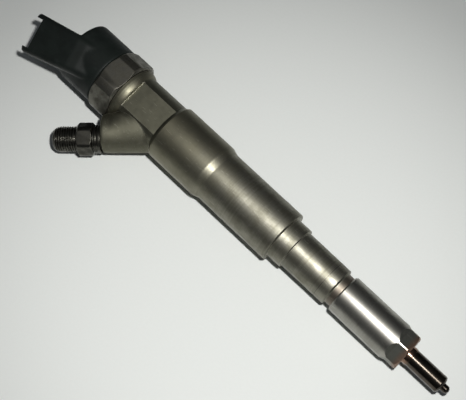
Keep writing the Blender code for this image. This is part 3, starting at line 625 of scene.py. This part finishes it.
def nozzle_nut():
    nut = lathe("nozzle_nut_shell", eased([
        (-34.13 * MM, 7.45 * MM), (-34.13 * MM, NOZZLE_NUT_R - 0.5 * MM),
        (-33.6 * MM, NOZZLE_NUT_R, 0.3 * MM), (-0.95 * MM, NOZZLE_NUT_R),
        (-0.32 * MM, 7.7 * MM), (0.0, 7.1 * MM, 0.2 * MM),
        (0.0, 4.1 * MM), (-3.41 * MM, 4.1 * MM), (-3.41 * MM, 7.2 * MM),
        (-17.85 * MM, 7.2 * MM), (-17.85 * MM, 7.45 * MM)], 0.12 * MM))
    corner = NOZZLE_HEX_AF / 2 / cos(pi / 6)
    runout = corner + 1.5 * MM / cos(pi / 6)
    combine(nut, "INTERSECT", lathe("nozzle_hex", [
        (-35.7 * MM, 0.0), (-35.7 * MM, runout), (-8.4 * MM, runout),
        (-5.2 * MM, corner), (OVERSHOOT, corner), (OVERSHOOT, 0.0)], steps=6, turn=pi / 2))
    finish(nut, polished, "injector", "nozzle_nut", 12.0)


def nozzle_body():
    nozzle = lathe("nozzle_shell", eased([
        (-18.32 * MM, 2.05 * MM), (-18.32 * MM, 7.05 * MM, 0.2 * MM),
        (-4.52 * MM, 7.05 * MM), (-3.47 * MM, 6.2 * MM), (-3.47 * MM, 3.95 * MM),
        (1.89 * MM, 3.95 * MM), (2.1 * MM, 3.8 * MM), (16.7 * MM, 3.8 * MM, 0.4 * MM),
        (17.43 * MM, 2.9 * MM, 0.4 * MM), (17.64 * MM, 1.65 * MM, 0.2 * MM),
        (19.53 * MM, 1.6 * MM, 0.5 * MM), (20.21 * MM, 1.15 * MM, 0.4 * MM),
        (20.58 * MM, 0.45 * MM, 0.2 * MM), (20.58 * MM, 0.0), (19.85 * MM, 0.0),
        (19.64 * MM, 0.5 * MM), (17.75 * MM, 0.5 * MM), (16.7 * MM, 1.1 * MM),
        (15.33 * MM, 2.3 * MM), (-8.4 * MM, 2.3 * MM), (-9.87 * MM, 3.0 * MM),
        (-11.97 * MM, 3.0 * MM), (-12.81 * MM, 2.05 * MM)], 0.08 * MM), steps=96)
    combine(nozzle, "DIFFERENCE", rod("nozzle_feed", (-19.43 * MM, 0.0, 5.63 * MM),
                                      (-10.71 * MM, 0.0, 2.5 * MM), 0.8 * MM))
    for i in range(6):
        way = 2 * pi * (i + 0.25) / 6
        combine(nozzle, "DIFFERENCE", rod(
            "spray_hole", (18.9 * MM, 0.0, 0.0),
            (19.64 * MM, 2.4 * MM * cos(way), 2.4 * MM * sin(way)), 0.12 * MM, steps=12))
    finish(nozzle, oxide, "injector", "nozzle_body")


def thread_relief(station, angle):
    """A helical V thread with flat crests, fading in and out at its ends."""
    if not THREAD_FROM <= station <= THREAD_TO:
        return 0.0
    turn = ((station - THREAD_FROM) / THREAD_PITCH - angle / (2 * pi)) % 1.0
    groove = max(0.0, min(1.0, 1.25 - abs(turn - 0.5) * 3.4))
    fade = min(1.0, (station - THREAD_FROM) / THREAD_PITCH * 1.5 + 0.25,
               (THREAD_TO - station) / THREAD_PITCH * 1.5 + 0.1)
    return -THREAD_DEPTH * groove * fade


def crest_radius(station):
    """The thread's crests run level, then over the domed end."""
    over = max(0.0, (station - DOME_FROM) / (INLET_TIP - DOME_FROM))
    return DOME_R + (THREAD_CREST_R - DOME_R) * (1.0 - over ** 2) ** 0.5


def inlet_fitting():
    count = ceil((THREAD_TO - THREAD_FROM) / (0.08 * MM))
    stations = [THREAD_FROM + (THREAD_TO - THREAD_FROM) * i / count
                for i in range(count + 1)]
    threaded = [(station, crest_radius(station)) for station in stations]
    neck = eased([
        (39.68 * MM, 2.7 * MM), (19.1 * MM, 2.7 * MM), (19.1 * MM, 4.15 * MM, 0.4 * MM),
        (ARM_END + 0.2 * MM, 4.15 * MM, 0.0), (ARM_END + 0.2 * MM, 5.9 * MM),
        (32.64 * MM, 5.9 * MM), (32.86 * MM, 5.4 * MM), (33.27 * MM, 5.4 * MM),
        (33.48 * MM, 5.9 * MM), (34.01 * MM, 5.9 * MM), (34.22 * MM, 5.4 * MM),
        (34.64 * MM, 5.4 * MM), (34.85 * MM, 6.3 * MM), (35.48 * MM, 6.9 * MM),
        (40.7 * MM, 6.9 * MM), (41.25 * MM, 6.2 * MM), (41.38 * MM, 4.75 * MM),
        (42.15 * MM, 4.75 * MM)], 0.08 * MM)
    end = eased([
        (THREAD_TO, crest_radius(THREAD_TO), 0.0), (INLET_TIP - 0.3 * MM, 4.15 * MM, 0.2 * MM),
        (INLET_TIP, 3.85 * MM, 0.15 * MM), (INLET_TIP, 3.0 * MM),
        (INLET_TIP - 3.0 * MM, 1.5 * MM), (40.1 * MM, 1.5 * MM)], 0.1 * MM)
    fitting = lathe("inlet_fitting_shell", neck + threaded + end[1:], INLET, 96,
                    relief=thread_relief)
    outside = hexagon("inlet_hex", 12.6 * MM, 34.75 * MM, 41.35 * MM, INLET, 20.0)
    for low, high in ((18.0 * MM, 34.8 * MM), (41.3 * MM, 56.0 * MM)):
        combine(outside, "UNION", lathe("inlet_round", [
            (low, 0.0), (low, 9.0 * MM), (high, 9.0 * MM), (high, 0.0)], INLET, 48))
    combine(fitting, "INTERSECT", outside)
    finish(fitting, fitting_black, "injector", "inlet_fitting")


def union_nut():
    nut = lathe("union_nut_shell", eased([
        (-154.61 * MM, 12.45 * MM), (-154.61 * MM, 13.5 * MM),
        (-155.51 * MM, HEAD_NUT_R, 0.4 * MM), (HEAD_NUT_TO + 1.1 * MM, HEAD_NUT_R, 0.4 * MM),
        (HEAD_NUT_TO, 13.45 * MM), (HEAD_NUT_TO, 11.5 * MM),
        (-164.17 * MM, 11.5 * MM), (-164.17 * MM, 12.45 * MM)]), steps=192)
    combine(nut, "INTERSECT", hexagon("union_hex", HEAD_NUT_AF, -152.8 * MM, -167.3 * MM,
                                      turn=25.0))
    finish(nut, nut_brown, "injector", "solenoid_nut")


def connector_head():
    cap = lathe("connector_shell", [
        (HEAD_NUT_TO - 0.1 * MM, 0.0), (HEAD_NUT_TO - 0.1 * MM, HEAD_R - 0.3 * MM),
        (HEAD_NUT_TO - 0.4 * MM, HEAD_R), (HEAD_TOP + 1.0 * MM, HEAD_R),
        (HEAD_TOP + 0.3 * MM, HEAD_R - 0.3 * MM), (HEAD_TOP, HEAD_R - 1.0 * MM),
        (HEAD_TOP, 0.0)], steps=128)
    combine(cap, "UNION", loft("socket_form", [
        (-12.6 * MM, rounded(SOCKET_ROOT_WIDTH, SOCKET_HEIGHT, SOCKET_CORNER + 0.8 * MM,
                             extra=1.0 * MM)),
        (-4.2 * MM, rounded(SOCKET_ROOT_WIDTH, SOCKET_HEIGHT, SOCKET_CORNER + 0.6 * MM,
                            extra=SOCKET_CREST - 0.25 * MM)),
        (0.0, rounded(SOCKET_ROOT_WIDTH + 0.3 * MM, SOCKET_HEIGHT,
                      SOCKET_CORNER + 0.4 * MM, extra=SOCKET_CREST)),
        (SOCKET_MOUTH, rounded(SOCKET_WIDTH, SOCKET_HEIGHT, SOCKET_CORNER))], SOCKET))
    moulded(cap, 0.35 * MM, 12)
    combine(cap, "DIFFERENCE",
            lathe("head_cavity", [
                (-164.9 * MM, 0.0), (-164.9 * MM, 12.65 * MM), (-168.32 * MM, 12.65 * MM),
                (-168.32 * MM, 11.45 * MM), (-175.04 * MM, 11.45 * MM),
                (-175.04 * MM, 4.15 * MM), (-176.87 * MM, 4.15 * MM),
                (-176.87 * MM, 2.95 * MM), (-180.18 * MM, 2.95 * MM),
                (-180.18 * MM, 0.0)], steps=96),
            rod("return_port", (HEAD_TOP - OVERSHOOT, 0.0, -PORT_DROP),
                (-177.61 * MM, 0.0, -PORT_DROP), 3.7 * MM, steps=64),
            loft("socket_hollow", [
                (station, rounded(SOCKET_WIDTH - 2 * SOCKET_WALL,
                                  SOCKET_HEIGHT - 2 * SOCKET_WALL, 1.2 * MM))
                for station in (7.35 * MM, SOCKET_MOUTH + OVERSHOOT)], SOCKET),
            block("latch_notch",
                  (SOCKET_MOUTH - 3.05 * MM, -SOCKET_WIDTH / 2 + 2.2 * MM, 2.0 * MM),
                  (SOCKET_MOUTH + OVERSHOOT, SOCKET_WIDTH / 2 - 2.2 * MM, SOCKET_HEIGHT),
                  SOCKET))
    finish(cap, black, "injector", "connector_head")


injector_body()
nozzle_nut()
nozzle_body()
inlet_fitting()
union_nut()
connector_head()

CARRIED = {
    ground: ("dowel_pin_a", "dowel_pin_b", "nozzle_needle", "needle_spring_seat",
             "nozzle_spring_shim", "control_plunger", "inlet_bar_filter", "valve_body",
             "valve_clamp_nut", "valve_ball", "ball_holder", "armature_guide",
             "armature_bolt", "overtravel_shim", "lift_shim", "solenoid_spring_shim",
             "return_tube", "magnet_sleeve"),
    spring_steel: ("nozzle_spring", "overtravel_spring", "solenoid_spring",
                   "armature_clip"),
    soft_iron: ("armature_plate", "magnet_core"),
    copper: ("coil_winding",),
    tin: ("return_fitting", "terminal_pin_a", "terminal_pin_b"),
    nylon: ("valve_seal_ring", "coil_bobbin"),
    rubber: ("return_seal", "head_seal"),
}
for look, names in CARRIED.items():
    for name in names:
        mesh = frame["nodes"][name].data
        mesh.materials.clear()
        mesh.materials.append(look)


# --- Stage, light and camera ------------------------------------------------------------

FLOOR_PITCH = radians(-1.5)
FLOOR_ROLL = radians(11.0)
CAMERA_TILT = radians(12.6)
CAMERA_ROLL = radians(6.3)
CAMERA_TURN = radians(43.13)
CAMERA_DISTANCE = 0.4284
CAMERA_TARGET = Vector((49.4 * MM, 0.0, -9.5 * MM))
CAMERA_DROP = 2.76 * MM
LENS, SENSOR = 82.04, 36.0
PAPER_HALF = 0.6
LAMP_AT = Vector((0.14, 0.014, 0.40))
LAMP_AIM = Vector((0.072, -0.021, -0.03))
LAMP_CONE = radians(60.0)
LAMP_SIZE = 0.01
LAMP_POWER = 6.8
LAMP_COLOUR = (1.0, 0.995, 0.97)
BEAM_FULL = 0.965  # cosine from the beam's middle, inside which it outshines the room
# Middle, reach and start of the paper's painted room-light glow, and its tone and strength; the
# same tone and strength make the backdrop that cameras see.
PICTURE_MIDDLE = (0.046, 0.002, -0.022)
PICTURE_REACH, ROOM_FROM = 0.125, 0.17
ROOM_TONE, ROOM_GLOW = (0.96, 1.0, 0.98), 0.55
WORLD_GLOW = 0.08
WORLD_LOW, WORLD_HIGH = (0.35, 0.38, 0.40), (0.9, 0.95, 1.0)


def painted_room_glow(tree):
    """The rest of the room's light, painted on the paper as a glow: only cameras see it, and
    only far from the injector and out of the lamp's beam."""
    spot = add(tree, "ShaderNodeNewGeometry", output="Position")
    away = add(tree, "ShaderNodeVectorMath", {0: spot, 1: PICTURE_MIDDLE}, "Value",
               operation="DISTANCE")
    ray = add(tree, "ShaderNodeVectorMath", {0: spot, 1: LAMP_AT}, operation="SUBTRACT")
    ray = add(tree, "ShaderNodeVectorMath", {0: ray}, operation="NORMALIZE")
    lit = add(tree, "ShaderNodeVectorMath", {0: ray, 1: (LAMP_AIM - LAMP_AT).normalized()},
              "Value", operation="DOT_PRODUCT")
    glow = calc(tree, "MULTIPLY", fit(tree, lit, cos(LAMP_CONE / 2), BEAM_FULL, ROOM_GLOW, 0.0),
                fit(tree, away, PICTURE_REACH, ROOM_FROM))
    seen = add(tree, "ShaderNodeLightPath", output="Is Camera Ray")
    return calc(tree, "MULTIPLY", glow, seen)


def floor():
    """A sheet of pale paper that the union nut, the body and the inlet fitting rest on."""
    normal = Vector((sin(FLOOR_PITCH), sin(FLOOR_ROLL), 1.0)).normalized()
    graph = bpy.context.evaluated_depsgraph_get()
    lowest = min(normal.dot(piece.matrix_world @ vertex.co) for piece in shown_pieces()
                 for vertex in piece.evaluated_get(graph).data.vertices)
    turn = normal.to_track_quat("Z", "Y").to_matrix().to_4x4()
    corners = [(x * PAPER_HALF, y * PAPER_HALF, 0.0)
               for x, y in ((-1, -1), (1, -1), (1, 1), (-1, 1))]
    sheet = mesh_object("paper", corners, [(0, 1, 2, 3)],
                        Matrix.Translation(normal * (lowest - 0.02 * MM)) @ turn)
    look = bpy.data.materials.new("pale_paper")
    look.use_nodes = True
    tree = look.node_tree
    shader = tree.nodes["Principled BSDF"]
    place = add(tree, "ShaderNodeTexCoord", output="Object")
    fibres = noise(tree, place, 900.0, 3.0)
    colour = blend_colour(tree, fibres, (0.76, 0.78, 0.765), (0.79, 0.81, 0.795))
    tree.links.new(colour, shader.inputs["Base Color"])
    shader.inputs["Roughness"].default_value = 0.8
    shader.inputs["Specular IOR Level"].default_value = 0.2
    # The paper glows with painted room light, which only cameras see.
    tree.links.new(painted_room_glow(tree), shader.inputs["Emission Strength"])
    shader.inputs["Emission Color"].default_value = (*ROOM_TONE, 1.0)
    sheet.data.materials.append(look)
    sheet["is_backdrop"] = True


def lamp():
    """A small round light beside the camera, whose beam fades smoothly to its cone's edge."""
    data = bpy.data.lights.new("key", "SPOT")
    data.shadow_soft_size = LAMP_SIZE
    data.energy = LAMP_POWER
    data.color = LAMP_COLOUR
    data.spot_size = LAMP_CONE
    data.spot_blend = 1.0
    obj = bpy.data.objects.new("key", data)
    bpy.context.scene.collection.objects.link(obj)
    obj.location = LAMP_AT
    obj.rotation_mode = "QUATERNION"
    obj.rotation_quaternion = (LAMP_AIM - LAMP_AT).to_track_quat("-Z", "Y")


def world():
    """Dim surroundings, darker towards the horizon; a camera sees the far wall's pale tone."""
    made = bpy.data.worlds.new("room")
    bpy.context.scene.world = made
    made.use_nodes = True
    tree = made.node_tree
    way = add(tree, "ShaderNodeTexCoord", output="Generated")
    height = add(tree, "ShaderNodeSeparateXYZ", {0: way}, "Z")
    colour = blend_colour(tree, fit(tree, height, 0.1, 0.95), WORLD_LOW, WORLD_HIGH)
    seen = add(tree, "ShaderNodeLightPath", output="Is Camera Ray")
    back = tree.nodes["Background"]
    tree.links.new(blend_colour(tree, seen, colour, ROOM_TONE), back.inputs["Color"])
    tree.links.new(fit(tree, seen, 0.0, 1.0, WORLD_GLOW, ROOM_GLOW), back.inputs["Strength"])


def camera():
    """Looks down at the injector, with its axis slanting down to the right in the picture."""
    towards = Vector((sin(CAMERA_TILT), -cos(CAMERA_TILT) * sin(CAMERA_ROLL),
                      cos(CAMERA_TILT) * cos(CAMERA_ROLL)))
    along = Vector((1.0, 0.0, 0.0))
    along = (along - along.dot(towards) * towards).normalized()
    across = towards.cross(along)
    right = cos(CAMERA_TURN) * along + sin(CAMERA_TURN) * across
    up = -sin(CAMERA_TURN) * along + cos(CAMERA_TURN) * across
    data = bpy.data.cameras.new("photo_view")
    data.lens = LENS
    data.sensor_width = SENSOR
    data.clip_start = 0.01
    obj = bpy.data.objects.new("photo_view", data)
    bpy.context.scene.collection.objects.link(obj)
    place = Matrix((right, up, towards)).transposed().to_4x4()
    place.translation = CAMERA_TARGET - CAMERA_DROP * across + CAMERA_DISTANCE * towards
    obj.matrix_world = place
    bpy.context.scene.camera = obj


floor()
lamp()
world()
camera()
bpy.context.scene.view_settings.view_transform = "Standard"
